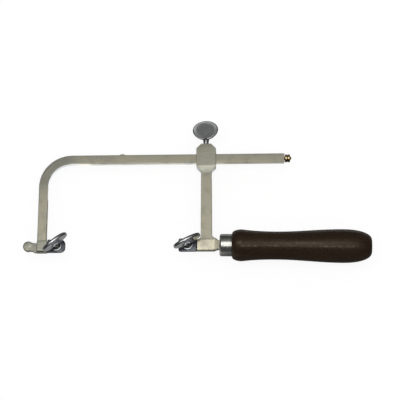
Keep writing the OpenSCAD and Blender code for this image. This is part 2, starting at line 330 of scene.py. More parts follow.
def prism(outline, low, high):
    """Closed shape that has the outline in x and y, from low to high in z."""
    bm = bmesh.new()
    face = bm.faces.new([bm.verts.new((x, y, low)) for x, y in outline])
    grown = bmesh.ops.extrude_face_region(bm, geom=[face])["geom"]
    moved = [g for g in grown if isinstance(g, bmesh.types.BMVert)]
    bmesh.ops.translate(bm, verts=moved, vec=(0, 0, high - low))
    return tidy(bm)


def turned(profile, steps=ROUND_STEPS, closed=False):
    """Shape turned about z from points given as (radius, z).

    The profile runs from one end of the axis to the other, or is closed and makes a ring.
    """
    bm = bmesh.new()
    verts = [bm.verts.new((r, 0, z)) for r, z in profile]
    following = verts[1:] + (verts[:1] if closed else [])
    edges = [bm.edges.new(pair) for pair in zip(verts, following)]
    bmesh.ops.spin(bm, geom=verts + edges, cent=(0, 0, 0), axis=(0, 0, 1),
                   angle=math.tau, steps=steps, use_merge=True)
    return tidy(bm)


def skin(bm, rings):
    """Closes a row of equal rings of vertices with side faces and two ends."""
    loops = [[bm.edges.new(pair) for pair in zip(ring, ring[1:] + ring[:1])] for ring in rings]
    for first, second in zip(loops, loops[1:]):
        bmesh.ops.bridge_loops(bm, edges=first + second)
    bm.faces.new(rings[0])
    bm.faces.new(rings[-1])
    return tidy(bm)


def soften(bm, width, segments=3, chosen=lambda edge: True):
    """Rounds the chosen edges among those that are sharp."""
    sharp = [e for e in bm.edges if e.is_manifold and e.calc_face_angle(0) > CREASE and chosen(e)]
    bmesh.ops.bevel(bm, geom=sharp, offset=width, segments=segments, profile=0.5,
                    affect="EDGES", material=-1, clamp_overlap=True)
    return tidy(bm)


def middle(edge):
    return (edge.verts[0].co + edge.verts[1].co) / 2


def upright(edge):
    """True for an edge that runs along z."""
    step = edge.verts[1].co - edge.verts[0].co
    return abs(step.z) > 0.9 * step.length


def placed(bm, x=0.0, y=0.0, z=0.0, turns=()):
    """Turns a shape about its origin, as (degrees, axis) in order, and then moves it."""
    for degrees, axis in turns:
        bmesh.ops.rotate(bm, verts=bm.verts, cent=(0, 0, 0),
                         matrix=Matrix.Rotation(math.radians(degrees), 3, axis))
    bmesh.ops.translate(bm, verts=bm.verts, vec=(x, y, z))
    return bm


def shape(bm):
    """Object that holds a shape while it is joined and cut."""
    mesh = bpy.data.meshes.new("shape")
    bm.to_mesh(mesh)
    bm.free()
    obj = bpy.data.objects.new("shape", mesh)
    bpy.context.scene.collection.objects.link(obj)
    return obj


def combine(base, others, operation):
    """Joins shapes to a base, cuts them from it or keeps what they share."""
    for other in others:
        step = base.modifiers.new("combine", "BOOLEAN")
        step.object = other
        step.operation = operation
        step.solver = "EXACT"
    bpy.context.view_layer.update()
    depsgraph = bpy.context.evaluated_depsgraph_get()
    result = bpy.data.meshes.new_from_object(base.evaluated_get(depsgraph))
    base.modifiers.clear()
    base.data = result
    for other in others:
        bpy.data.objects.remove(other)
    return base


def bar_grain(place):
    """Place along and across the bow, in millimetres, which follows its bend."""
    if place.x > BEND_X:
        return place.x - BEND_X, place.y - BEND_Y
    if place.y < BEND_Y:
        return place.y - BEND_Y - BEND_R * math.pi / 2, BEND_X - place.x
    turn = math.atan2(BEND_X - place.x, place.y - BEND_Y)
    return -BEND_R * turn, math.hypot(place.x - BEND_X, place.y - BEND_Y)


def arm_grain(place):
    """Place along and across the arm, in millimetres."""
    return place.y, place.x


def cross_grain(place):
    """Place along and across the blade line, in millimetres."""
    return place.x, place.y


def add_grain(obj, chosen):
    """Stores the place along and across the metal's grain, chosen by the middle of each face."""
    layer = obj.data.attributes.new("grain", "FLOAT_VECTOR", "CORNER")
    for polygon in obj.data.polygons:
        grain = chosen(polygon.center)
        for loop in polygon.loop_indices:
            place = obj.data.vertices[obj.data.loops[loop].vertex_index].co
            layer.data[loop].vector = Vector((*grain(place), place.z)) * MM


def add_dullness_and_shade(obj, chosen):
    """Stores on each face its share of dullness, nought to one: the forged parts' own, and painted
    shade on the collar's slope.
    """
    layer = obj.data.attributes.new("forged", "FLOAT", "FACE")
    for polygon in obj.data.polygons:
        layer.data[polygon.index].value = chosen(polygon.center)


def add_under_head_shade(obj, depth):
    """Stores how deep each point lies under a head, nought to one, for the painted shade there."""
    layer = obj.data.attributes.new("under_head_shade", "FLOAT", "POINT")
    for vert in obj.data.vertices:
        layer.data[vert.index].value = min(1.0, max(0.0, depth(vert.co)))


def finished(obj, name, material, body, node):
    """Moves a shape to the row frame, names it, gives it its finish and puts it on its body."""
    obj.name = name
    obj.data.name = name
    obj.data.transform(Matrix.Translation(LAYOUT_ORIGIN) @ Matrix.Scale(MM, 4))
    obj.data.materials.clear()
    obj.data.materials.append(material)
    for polygon in obj.data.polygons:
        polygon.use_smooth = True
    obj.data.set_sharp_from_angle(angle=CREASE)
    weighted = obj.modifiers.new("even shading", "WEIGHTED_NORMAL")
    weighted.keep_sharp = True
    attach(obj, body)
    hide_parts(node)
    return obj


# Node materials

class Value:
    """Output socket of a node. Arithmetic on it adds Math nodes."""

    def __init__(self, finish, socket):
        self.finish = finish
        self.socket = socket

    def __add__(self, other):
        return self.finish.math("ADD", self, other)

    def __sub__(self, other):
        return self.finish.math("SUBTRACT", self, other)

    def __rsub__(self, other):
        return self.finish.math("SUBTRACT", other, self)

    def __mul__(self, other):
        return self.finish.math("MULTIPLY", self, other)

    __radd__ = __add__
    __rmul__ = __mul__


class Finish:
    """Node material or world that is being put together."""

    def __init__(self, owner):
        owner.use_nodes = True
        self.owner = owner
        self.tree = owner.node_tree
        self.tree.nodes.clear()

    def node(self, kind, settings=None, sockets=None, out=0):
        """Adds a node, applies its settings, fills its sockets and returns one of its outputs.

        A socket goes by name or number and gets a link, a number, a vector or a colour of 3 parts.
        """
        made = self.tree.nodes.new("ShaderNode" + kind)
        for key, value in (settings or {}).items():
            setattr(made, key, value)
        for key, value in (sockets or {}).items():
            socket = made.inputs[key]
            if isinstance(value, Value):
                self.tree.links.new(value.socket, socket)
            else:
                socket.default_value = (*value, 1.0) if socket.type == "RGBA" else value
        return Value(self, made.outputs[out]) if made.outputs else None

    def math(self, operation, first, second):
        return self.node("Math", {"operation": operation}, {0: first, 1: second})

    def attribute(self, name, out="Fac"):
        return self.node("Attribute", {"attribute_name": name}, out=out)

    def stretch(self, vector, scale):
        return self.node("Mapping", None, {"Vector": vector, "Scale": scale})

    def place(self, scale):
        """Object coordinates in metres, stretched by scale."""
        return self.stretch(self.node("TexCoord", out="Object"), scale)

    def coordinate(self, axis, vector=None):
        """One coordinate of a vector, or else of the place on the object in metres."""
        vector = vector or self.node("TexCoord", out="Object")
        return self.node("SeparateXYZ", None, {0: vector}, axis)

    def noise(self, vector, detail=3.0, roughness=0.55):
        return self.node("TexNoise", None, {
            "Vector": vector, "Scale": 1.0, "Detail": detail, "Roughness": roughness})

    def cloud(self, scale, detail=3.0):
        """Noise over the object that is alike in every direction."""
        return self.noise(self.place((scale, scale, scale)), detail)

    def spread(self, value, low, high, to_low=0.0, to_high=1.0):
        """Maps a value from one range to another, with its ends eased and held."""
        return self.node("MapRange", {"interpolation_type": "SMOOTHSTEP"}, {
            "Value": value, "From Min": low, "From Max": high, "To Min": to_low, "To Max": to_high})

    def band(self, value, start, full, wane, end):
        """One between full and wane, nought before start and after end, and eased between them."""
        return self.spread(value, start, full) * self.spread(value, wane, end, 1.0, 0.0)

    def mix(self, share, first, second):
        """Blend of two colours."""
        return self.node("Mix", {"data_type": "RGBA"}, {0: share, 6: first, 7: second}, out=2)

    def bump(self, height, strength, distance):
        return self.node("Bump", None, {
            "Height": height, "Strength": strength, "Distance": distance})

    def surface(self, sockets):
        """Ends the material with a principled shader."""
        return self.output("OutputMaterial", self.node("BsdfPrincipled", None, sockets))

    def output(self, kind, shader):
        self.node(kind, None, {"Surface": shader})
        return self.owner


def new_material(name):
    return Finish(bpy.data.materials.new(name))


def grey(level):
    return (level, level, level)


# Where the bend is dull, in metres along the grain from the straight spine, with its eased ends
DULL_BEND = (-0.046, -0.026, -0.008, 0.014)
# Where painted shade darkens the lower side of the brass, in millimetres from its axis
BRASS_SHADE = (-2.8, -1.2)


def satin_nickel():
    """Satin nickel plate over steel: bright drawn bars, duller forged parts, marks along the grain,
    soft stains and a few pits."""
    f = new_material("satin nickel")
    grain = f.attribute("grain", "Vector")
    marks = f.noise(f.stretch(grain, (90.0, 2600.0, 1500.0)))
    broad = f.noise(f.stretch(grain, (32.0, 210.0, 120.0)), 4.0)
    filed = f.noise(f.stretch(grain, (70.0, 620.0, 400.0)), 2.0)
    stains = f.cloud(75.0, 4.0)
    pits = f.cloud(1100.0, 1.0)
    drawn = f.mix(f.spread(broad, 0.36, 0.64), (0.48, 0.442, 0.34), (0.46, 0.446, 0.358))
    dull = f.mix(f.spread(filed, 0.38, 0.62), (0.275, 0.279, 0.241), (0.333, 0.339, 0.294))
    along = f.coordinate("X", grain)
    # on the collar's sloped face the dullness holds painted shade as well
    dullness = f.math("MAXIMUM", f.attribute("forged"), f.band(along, *DULL_BEND))
    color = f.mix(dullness * (0.7 + 0.3 * broad), drawn, dull)
    color = f.mix(f.spread(stains, 0.48, 0.72) * 0.6, color, (0.3, 0.298, 0.25))
    color = f.mix(f.spread(marks, 0.3, 0.7) * 0.22, color, (0.28, 0.262, 0.21))
    color = f.mix(f.spread(pits, 0.7, 0.8) * 0.35, color, (0.15, 0.14, 0.11))
    rough = 0.3 + 0.1 * broad + 0.1 * f.spread(stains, 0.45, 0.7)
    return f.surface({"Base Color": color, "Metallic": 1.0, "Roughness": rough,
                      "Normal": f.bump(marks, 0.18, 0.00003)})


def blued_steel():
    """Blued steel with a faint blue cast and rubbed spots."""
    f = new_material("blued steel")
    cloud = f.cloud(260.0, 4.0)
    fine = f.cloud(2600.0, 2.0)
    color = f.mix(f.spread(cloud, 0.35, 0.68), (0.062, 0.066, 0.076), (0.13, 0.138, 0.156))
    return f.surface({"Base Color": color, "Metallic": 1.0, "Roughness": 0.22 + 0.16 * cloud,
                      "Normal": f.bump(fine, 0.2, 0.00002)})


def bright_nickel():
    """Bright nickel plate with light handling haze, and painted shade darkening it under the heads.
    """
    f = new_material("bright nickel")
    haze = f.cloud(420.0, 4.0)
    fine = f.cloud(1800.0, 2.0)
    under_head_shade = f.attribute("under_head_shade")
    shade = f.mix(f.spread(haze, 0.35, 0.7), (0.45, 0.455, 0.46), (0.36, 0.365, 0.37))
    # painted shade: darker under the heads, where the neck and shoulder lie in shade
    shade = f.mix(under_head_shade * (0.75 + 0.25 * f.spread(haze, 0.4, 0.6)), shade, (0.085, 0.086, 0.092))
    rough = 0.09 + 0.1 * f.spread(haze, 0.4, 0.7) + 0.2 * under_head_shade
    return f.surface({"Base Color": shade, "Metallic": 1.0, "Roughness": rough,
                      "Normal": f.bump(fine, 0.06, 0.00002)})


def turned_steel():
    """Ferrule plate with fine turning marks round the axis."""
    f = new_material("turned ferrule plate")
    rings = f.noise(f.place((4200.0, 40.0, 40.0)), 2.0)
    haze = f.cloud(300.0)
    shade = f.mix(f.spread(haze, 0.35, 0.7), (0.52, 0.518, 0.484), (0.437, 0.436, 0.407))
    return f.surface({"Base Color": shade, "Metallic": 1.0, "Roughness": 0.2 + 0.1 * rings,
                      "Normal": f.bump(rings, 0.3, 0.00003)})


def turned_brass():
    """Turned brass with a dull tarnish, and painted shade along its lower side."""
    f = new_material("turned brass")
    rings = f.noise(f.place((3800.0, 60.0, 60.0)), 2.0)
    cloud = f.cloud(700.0)
    dark, clear = [LAYOUT_ORIGIN.y + (SPINE_Y + y) * MM for y in BRASS_SHADE]
    shade = f.mix(f.spread(cloud, 0.38, 0.66), (0.74, 0.58, 0.3), (0.48, 0.4, 0.2))
    # painted shade: darker along the lower side
    shade = f.mix(f.spread(f.coordinate("Y"), dark, clear), (0.12, 0.085, 0.05), shade)
    return f.surface({"Base Color": shade, "Metallic": 1.0, "Roughness": 0.14 + 0.12 * cloud,
                      "Normal": f.bump(rings, 0.3, 0.00003)})


def lacquered_wood():
    """Dark brown stained wood with its grain along the handle, under lacquer worn in streaks."""
    f = new_material("lacquered dark wood")
    sweep = f.noise(f.place((14.0, 60.0, 60.0)), 2.0)
    lines = f.noise(f.place((26.0, 620.0, 620.0)), 5.0, 0.62)
    pores = f.noise(f.place((160.0, 2600.0, 2600.0)), 2.0)
    gloss = f.noise(f.place((420.0, 1100.0, 1100.0)))
    figure = f.spread(lines * 0.7 + sweep * 0.3, 0.34, 0.66)
    color = f.mix(figure, (0.0185, 0.0105, 0.0056), (0.028, 0.0163, 0.0092))
    color = f.mix(f.spread(pores, 0.6, 0.75) * 0.5, color, (0.009, 0.0055, 0.0032))
    return f.surface({"Base Color": color, "Roughness": f.spread(gloss, 0.42, 0.64, 0.42, 0.13),
                      "Specular IOR Level": 0.32, "Specular Tint": (1.0, 0.84, 0.66),
                      "Normal": f.bump(lines * 0.15 - pores, 0.16, 0.00008)})


# Bow

def plate_outline(direction, r, inset=0.0, back=0.0):
    """Outline of a clamp plate about its screw, its free end rounded by r and its back square."""
    x, y, tail = PLATE_LEN / 2 - inset, PLATE_W / 2 - inset, PLATE_LEN / 2 + back
    free_end = arc(x - r, r - y, r, -90, 0, 8) + arc(x - r, y - r, r, 0, 90, 8)
    return [(direction * px, py) for px, py in [(-tail, -y)] + free_end + [(-tail, y)]]


def jaw(x, direction, r, thickness):
    """Fixed jaw under a clamp plate, reaching back into the block that carries it."""
    bm = prism(plate_outline(direction, r, JAW_INSET, PLATE_END_GAP + FORGED_EDGE), -thickness, 0)
    soften(bm, JAW_EDGE,
           chosen=lambda e: middle(e).z < -NEAR and middle(e).x * direction > -PLATE_LEN / 2)
    return placed(bm, x)


def forged_block(left, bottom, right, top, thickness, lean, worn):
    """Block whose two faces lean together towards its lower edges, which are worn round."""
    bm = prism(box_outline(left, bottom, right, top), -thickness / 2, thickness / 2)
    for vert in bm.verts:
        if vert.co.y < (bottom + top) / 2:
            vert.co.z -= math.copysign((top - bottom) * math.tan(math.radians(lean)), vert.co.z)
    lower = [e for e in bm.edges if middle(e).y < bottom + NEAR and left < middle(e).x < right]
    bmesh.ops.bevel(bm, geom=lower, offset=worn, segments=8, profile=0.5, affect="EDGES",
                    material=-1)
    return soften(tidy(bm), FORGED_EDGE)


def hole(x, y, radius, low, high):
    """Upright round cutter."""
    profile = [(0, low), (radius, low), (radius, high), (0, high)]
    return shape(placed(turned(profile, HOLE_STEPS), x, y))


def bar_sweep():
    """The spine, bend and leg as one rounded bar."""
    bm = bmesh.new()
    y, z = BAR_W / 2, BAR_T / 2
    corners = [(SPINE_END, SPINE_Y + a, b) for a, b in ((-y, -z), (y, -z), (y, z), (-y, z))]
    bm.faces.new([bm.verts.new(corner) for corner in corners])
    bmesh.ops.bevel(bm, geom=bm.verts[:], offset=BAR_EDGE, segments=3, profile=0.5,
                    affect="VERTICES", material=-1)

    def extend(edges, vec):
        grown = bmesh.ops.extrude_edge_only(bm, edges=edges)["geom"]
        moved = [g for g in grown if isinstance(g, bmesh.types.BMVert)]
        bmesh.ops.translate(bm, verts=moved, vec=vec)
        return [g for g in grown if isinstance(g, bmesh.types.BMEdge)]

    ring = extend(bm.edges[:], (BEND_X - SPINE_END, 0, 0))
    turn = bmesh.ops.spin(bm, geom=ring, cent=(BEND_X, BEND_Y, 0), axis=(0, 0, 1),
                          angle=math.radians(90), steps=BEND_STEPS)["geom_last"]
    ring = extend([g for g in turn if isinstance(g, bmesh.types.BMEdge)], (0, -BEND_Y, 0))
    bmesh.ops.holes_fill(bm, edges=ring)
    return soften(tidy(bm), SPINE_END_EDGE, 2, lambda e: middle(e).x > SPINE_END - NEAR)


def stop_nub():
    """Small rounded stop on top of the spine."""
    stop_x, half = LEG_X + STOP_AT, STOP_LEN / 2
    shares = [1 - i / 8 for i in range(17)]
    outline = [(stop_x + half * t, SPINE_TOP + STOP_H * (1 - t ** 4)) for t in shares]
    outline += [(stop_x - half, SPINE_Y), (stop_x + half, SPINE_Y)]
    depth = BAR_T / 2 - BAR_EDGE
    return soften(prism(outline, -depth, depth), STOP_EDGE, 2, lambda e: middle(e).y > SPINE_TOP)


def nose_disc():
    """Round nose with a shallow dome on each side."""
    half, flat = NOSE_T / 2, NOSE_R - NOSE_EDGE
    upper = arc(flat, half - NOSE_EDGE, NOSE_EDGE, 0, 90, 6)
    upper += [(flat * t, half + NOSE_DOME * (1 - t ** 2)) for t in (0.7, 0.4, 0.0)]
    disc = turned([(r, -z) for r, z in reversed(upper)] + upper)
    return placed(disc, NOSE_X, 0, 0, [(NOSE_LEAN, "X")])


def nose_neck():
    """Neck between the nose and the foot."""
    low, top, half = -PLATE_W / 2, NOSE_NECK_H - PLATE_W / 2, NOSE_T / 2
    root, waist = FOOT_LEFT + NOSE_NECK_OVERLAP, NOSE_X + NOSE_R - NOSE_NECK_BEND
    lower = zip((NOSE_X, waist + NOSE_NECK_SWELL, FOOT_LEFT - NOSE_NECK_BEND, root),
                NOSE_NECK_LOW_RISES)
    upper = zip((root, FOOT_LEFT, waist, NOSE_X), NOSE_NECK_TOP_RISES)
    outline = [(x, low + rise) for x, rise in lower] + [(x, top + rise) for x, rise in upper]
    return soften(prism(outline, -half, half), NOSE_NECK_EDGE,
                  chosen=lambda e: NOSE_X < middle(e).x < FOOT_LEFT + NOSE_NECK_OVERLAP / 2)


def front_foot():
    """Foot block, fixed jaw, nose and its neck, as shapes to join."""
    return [
        forged_block(FOOT_LEFT, -PLATE_W / 2, FOOT_X, FOOT_TOP, FOOT_T, FOOT_LEAN, FOOT_WORN_EDGE),
        jaw(0.0, 1, FRONT_CORNER_R - JAW_INSET, FOOT_T / 2),
        nose_disc(),
        nose_neck(),
    ]


def bow(material):
    """Spine, bend, leg and foot in one, with holes for the clamp screw and the end stop screw."""
    body = shape(bar_sweep())
    combine(body, [shape(bm) for bm in [stop_nub()] + front_foot()], "UNION")
    r, depth = END_SCREW_D / 2 + HOLE_GAP, END_HOLE_DEPTH + OVERRUN
    end_hole = turned([(0, 0), (r, 0), (r, depth), (0, depth)], THREAD_STEPS)
    placed(end_hole, SPINE_END - END_HOLE_DEPTH, SPINE_Y, 0, [(90, "Y")])
    clamp_hole = hole(0, 0, SCREW_D / 2 + HOLE_GAP, -FOOT_T, FOOT_T)
    combine(body, [clamp_hole, shape(end_hole)], "DIFFERENCE")
    add_grain(body, lambda place: cross_grain if place.y < FOOT_TOP and place.x < PLATE_LEN
              else bar_grain)
    add_dullness_and_shade(body, lambda place: 1.0 if place.y < FOOT_TOP and place.x > FOOT_LEFT else 0.0)
    return finished(body, "bow_frame", material, "bow", "bow")


# Clamps and thumbscrews

def clamp_plate(x, direction, r, material, name, body, node):
    """Loose plate with a chamfered top and a clear hole."""
    bm = soften(prism(plate_outline(direction, r), 0, PLATE_T), PLATE_CHAMFER, 2,
                lambda e: middle(e).z > PLATE_T - NEAR)
    soften(bm, PLATE_LOWER_EDGE, 1, lambda e: middle(e).z < NEAR)
    plate = shape(placed(bm, x))
    screw_hole = hole(x, 0, SCREW_D / 2 + PLATE_HOLE_GAP, -OVERRUN, PLATE_T + OVERRUN)
    combine(plate, [screw_hole], "DIFFERENCE")
    return finished(plate, name, material, body, node)


def thread(radius, depth, pitch, low, high, steps=THREAD_STEPS):
    """Threaded rod along z with a chamfered lower end: its rings follow the helix."""
    rings = max(2, int((high - low) / pitch * THREAD_RINGS))
    lead = THREAD_LEAD * depth
    profile = [(0, low), (radius - lead, low)]
    profile += [(radius, low + (high - low) * (i + 0.5) / rings) for i in range(rings)]
    profile += [(radius, high), (0, high)]
    bm = turned(profile, steps)
    for vert in bm.verts:
        distance = math.hypot(vert.co.x, vert.co.y)
        if distance < radius - NEAR:
            continue
        phase = (vert.co.z / pitch - math.atan2(vert.co.y, vert.co.x) / math.tau) % 1
        cut = depth * abs(2 * phase - 1)
        reach = min(radius - cut, radius - lead + (vert.co.z - low))
        vert.co.x *= reach / distance
        vert.co.y *= reach / distance
    return tidy(bm)


def head_face():
    """Stations of a head's face from rim to middle: inset, height over the middle plane and share
    of the flutes' depth."""
    t = HEAD_T / 2
    crown = [math.radians(turn) for turn in range(12, 91, 13)]
    stations = [(HEAD_CROWN * (1 - math.cos(a)), t * math.sin(a), 0.0) for a in crown]
    for share in (step / 12 for step in range(1, 13)):
        along = min(1.0, share * HOLLOW_W / FLUTE_LEN)
        stations.append((HEAD_CROWN + share * HOLLOW_W, t - HEAD_HOLLOW * (1 - (1 - share) ** 2),
                         math.sin(math.pi * math.sqrt(along)) ** 2))
    return stations


def oval_head(size, drop=0.0, fullness=2.0):
    """Flat oval head that stands on z = 0: crowned rim and a hollow face with a fluted border.

    Its lower half reaches down by drop, and narrows to a blunt point where fullness is below two.
    """
    w, h = size[0] / 2, size[1] / 2
    face = head_face()
    stations = [(-1, *station) for station in reversed(face)] + [(1, 0.0, 0.0, 0.0)]
    stations += [(1, *station) for station in face]
    points = FLUTES * FLUTE_POINTS
    bm = bmesh.new()
    rings = []
    for side, inset, out, share in stations:
        ring = []
        for a in (math.tau * i / points for i in range(points)):
            cut = FLUTE_DEPTH * share * (0.5 - 0.5 * math.cos(FLUTES * a))
            across, up = math.cos(a), math.sin(a)
            reach = h - inset
            if up < 0:
                across = math.copysign(abs(across) ** (2 / fullness), across)
                up = -abs(up) ** (2 / fullness)
                reach += drop
            ring.append(bm.verts.new(((w - inset) * across, side * (out - cut), h + reach * up)))
        rings.append(ring)
    return skin(bm, rings)


def neck(size, length, waist):
    """Round neck from z = -length, where it has the waist's diameter, that flattens into the head
    above z = 0."""
    r, deep = SCREW_D / 2, HEAD_T / 2 - FLARE_INSET
    stations = [(-length, waist / 2, waist / 2), (-FLARE_START, r, r)]
    for t in (i / 10 for i in range(1, 11)):
        stations.append((FLARE_H * size[1] * t, r + (FLARE_W * size[0] / 2 - r) * t * t,
                         r + (deep - r) * t * t * (3 - 2 * t)))
    bm = bmesh.new()
    angles = [math.tau * i / HOLE_STEPS for i in range(HOLE_STEPS)]
    return skin(bm, [[bm.verts.new((wide * math.cos(a), thick * math.sin(a), z)) for a in angles]
                     for z, wide, thick in stations])


def shoulder():
    """Round shoulder with a broad crown between its rim and the neck."""
    r, t, shank = SHOULDER_D / 2, SHOULDER_T - SHOULDER_CROWN, SCREW_D / 2
    core, half = shank - SHOULDER_FIT, r - SHOULDER_CROWN_R
    profile = [(0, -OVERRUN), (core, -OVERRUN), (core, 0), (r - SHOULDER_EDGE, 0)]
    profile += [(r, SHOULDER_EDGE)]
    profile += [(SHOULDER_CROWN_R + half * math.cos(a), t + SHOULDER_CROWN * math.sin(a))
                for a in (math.pi * i / 12 for i in range(13))]
    profile += [(shank + SHOULDER_FIT, t), (shank - SHOULDER_CONE, t + SHOULDER_CONE),
                (0, t + SHOULDER_CONE)]
    return turned(profile)


def clamp_screw(x, turn, depth, material, name, body, node):
    """Clamp screw: threaded shank, shoulder on the plate, neck and oval head."""
    base = PLATE_T + SHOULDER_T + CLAMP_NECK
    turn_head = [(turn, "Z")]
    screw = shape(placed(shoulder(), x, 0, PLATE_T))
    waist = neck(CLAMP_HEAD, CLAMP_NECK + CLAMP_NECK_TUCK, SCREW_D)
    shank = thread(SCREW_D / 2, THREAD_DEPTH, THREAD_PITCH, -depth, PLATE_T - SHANK_TUCK)
    combine(screw, [
        shape(placed(waist, x, 0, base, turn_head)),
        shape(placed(oval_head(CLAMP_HEAD), x, 0, base, turn_head)),
        shape(placed(shank, x, 0, 0, [(THREAD_TURN, "Z")])),
    ], "UNION")
    rim = SHOULDER_CROWN_R - (SHOULDER_D / 2 - SHOULDER_CROWN_R) / 2
    # painted shade under the head: full low on the neck, fading out up into the head
    add_under_head_shade(screw, lambda at: (base + HEAD_SHADE_H - at.z) / HEAD_SHADE_H
               if at.z > PLATE_T and math.hypot(at.x - x, at.y) < rim else 0.0)
    return finished(screw, name, material, body, node)


def collar_screw(material):
    """Thumbscrew that stands in the top of the collar, with its head leaning to one side."""
    turns = [(-COLLAR_HEAD_TURN, "Z"), (-90, "X")]
    neck_top = COLLAR_NECK - COLLAR_HEAD_DROP - COLLAR_NECK_DROP
    low_neck = neck(COLLAR_HEAD, neck_top - COLLAR_NECK_LIFT, COLLAR_WAIST_D)
    head = oval_head(COLLAR_HEAD, COLLAR_HEAD_DROP, COLLAR_HEAD_FULLNESS)
    tip = SLIDE_GAP - COLLAR_ABOVE
    shank = thread(SCREW_D / 2, THREAD_DEPTH, THREAD_PITCH, tip, COLLAR_SHANK_SHOW)
    screw = shape(placed(low_neck, ARM_X, COLLAR_TOP + neck_top, 0, turns))
    combine(screw, [
        shape(placed(head, ARM_X, COLLAR_TOP + COLLAR_NECK, 0, turns + [(COLLAR_HEAD_LEAN, "Z")])),
        shape(placed(shank, ARM_X, COLLAR_TOP, 0, turns)),
    ], "UNION")
    return finished(screw, "collar_thumbscrew", material,
                    "collar_screw", "collar_screw")


def end_stop_screw(material):
    """Brass screw with two beads and a small tip."""
    shank_r, end, tip = END_SCREW_D / 2, 2 * BEAD_LEN, BEAD_R * TIP_SHARE
    e = BEAD_LEN / 2
    profile = [(0, -BEAD_TUCK), (shank_r - BEAD_FIT, -BEAD_TUCK), (shank_r + BEAD_CONE, 0)]
    for start in (0.0, BEAD_LEN):
        for a in (math.radians(turn) for turn in range(170, 9, -10)):
            along = math.copysign(abs(math.cos(a)) ** BEAD_FULLNESS, math.cos(a))
            profile.append((BEAD_R - e * (1 - math.sin(a) ** BEAD_FULLNESS), start + e + e * along))
    profile += [(tip + TIP_CONE, end)]
    profile += [(tip * wide, end + TIP_LEN * along) for wide, along in TIP_TAPER]
    head = turned(profile + [(0, end + TIP_LEN)], HOLE_STEPS)
    shank = thread(shank_r, END_THREAD_DEPTH, END_THREAD_PITCH, end_screw_low.x - BEAD_X, BEAD_FIT,
                   END_THREAD_STEPS)
    screw = shape(placed(head, BEAD_X, SPINE_Y, 0, [(90, "Y")]))
    combine(screw, [shape(placed(shank, BEAD_X, SPINE_Y, 0, [(90, "Y")]))], "UNION")
    return finished(screw, "brass_end_stop", material, "end_screw", "end_stop_screw")


# Collar, arm and block

def collar():
    """Collar as what its front and side outlines share, with rounded edges.

    Its right face stays in line with the solid's, so that it stops short of the brass screw.
    """
    x, xt, xa = (COLLAR_W - ARM_SHIFT) / 2, COLLAR_TOP_W / 2, ARM_TOP_W / 2
    z = COLLAR_T / 2
    mid, arm_mid = ARM_X + ARM_SHIFT / 2, ARM_X + ARM_SHIFT
    corner_y = COLLAR_TOP - x + xt
    front = prism([
        (arm_mid - xa + BAR_EDGE, COLLAR_TAIL_Y), (arm_mid + xa - BAR_EDGE, COLLAR_TAIL_Y),
        (arm_mid + xa, COLLAR_ARM_Y), (mid + x, COLLAR_LOW), (mid + x, corner_y),
        (mid + xt, COLLAR_TOP), (mid - xt, COLLAR_TOP), (mid - x, corner_y),
        (mid - x, COLLAR_LOW), (arm_mid - xa, COLLAR_ARM_Y),
    ], -z, z)
    bend = COLLAR_LOW + COLLAR_BEND_UP
    half_side = [
        (COLLAR_TAIL_Y, ARM_T / 2 + COLLAR_STEP),
        (bend - COLLAR_BEND_HALF, z - COLLAR_BEND_LOW),
        (bend + COLLAR_BEND_HALF, z - COLLAR_BEND_HIGH),
        (SPINE_TOP + COLLAR_FLAT_AT, z), (COLLAR_TOP, z),
    ]
    side = prism([(py, -pz) for py, pz in half_side] + half_side[::-1], -COLLAR_W, COLLAR_W)
    placed(side, ARM_X, 0, 0, [(90, "Z"), (90, "Y")])
    both = combine(shape(front), [shape(side)], "INTERSECT")
    bm = bmesh.new()
    bm.from_mesh(both.data)
    bpy.data.objects.remove(both)
    return soften(tidy(bm), COLLAR_EDGE, 4, lambda e: middle(e).y > COLLAR_ARM_Y - COLLAR_TAIL / 2)


def arm_bar():
    """Flat arm with a fillet on each side over the block, the right one over the root as well."""
    x, half, top = ARM_X + ARM_SHIFT, ARM_BOTTOM_W / 2, COLLAR_ARM_Y
    r = x - half - BLOCK_LEFT
    left = [(x - ARM_TOP_W / 2, top)] + arc(BLOCK_LEFT, BLOCK_TOP + r, r, 0, -90, 12)
    left += [(BLOCK_LEFT, ARM_ROOT)]
    right = [(BLOCK_RIGHT, ARM_ROOT)] + [(BLOCK_RIGHT + px, py) for px, py in ARM_FLARE]
    right += arc(x + half + r, BLOCK_TOP + ARM_FILLET_UP + r, r, -95, -180, 12)
    right += [(x + ARM_TOP_W / 2, top)]
    return soften(prism(right + left, -ARM_T / 2, ARM_T / 2), ARM_EDGE,
                  chosen=lambda e: not upright(e) and ARM_SHARP_BELOW < middle(e).y < top - NEAR)


def tang_root():
    """Tapered shoulder between the block and the tang."""
    high = BLOCK_T / 2
    low = high - (BLOCK_TOP + BLOCK_BOTTOM) * math.tan(math.radians(BLOCK_LEAN))
    at_block = (BLOCK_RIGHT - ROOT_OVERLAP, ROOT_INSET - BLOCK_BOTTOM, low,
                BLOCK_TOP - ROOT_INSET, high - ROOT_STEP)
    at_tang = (BLOCK_RIGHT + ROOT_LEN, -ROOT_BOTTOM, TANG_T / 2,
               ROOT_TOP, TANG_T / 2 + 2 * ROOT_STEP)
    bm = bmesh.new()
    rings = []
    for x, bottom, thin, top, thick in (at_block, at_tang):
        corners = ((bottom, -thin), (top, -thick), (top, thick), (bottom, thin))
        rings.append([bm.verts.new((x, y, z)) for y, z in corners])
    return soften(skin(bm, rings), ROOT_EDGE)


def along_handle(bm, reach=0.0):
    """Lays a shape that was made along z on the line of the handle, from the root of the tang."""
    placed(bm, reach, 0, 0, [(90, "Y")])
    return placed(bm, BLOCK_RIGHT, 0, 0, [(-HANDLE_DROOP, "Z")])


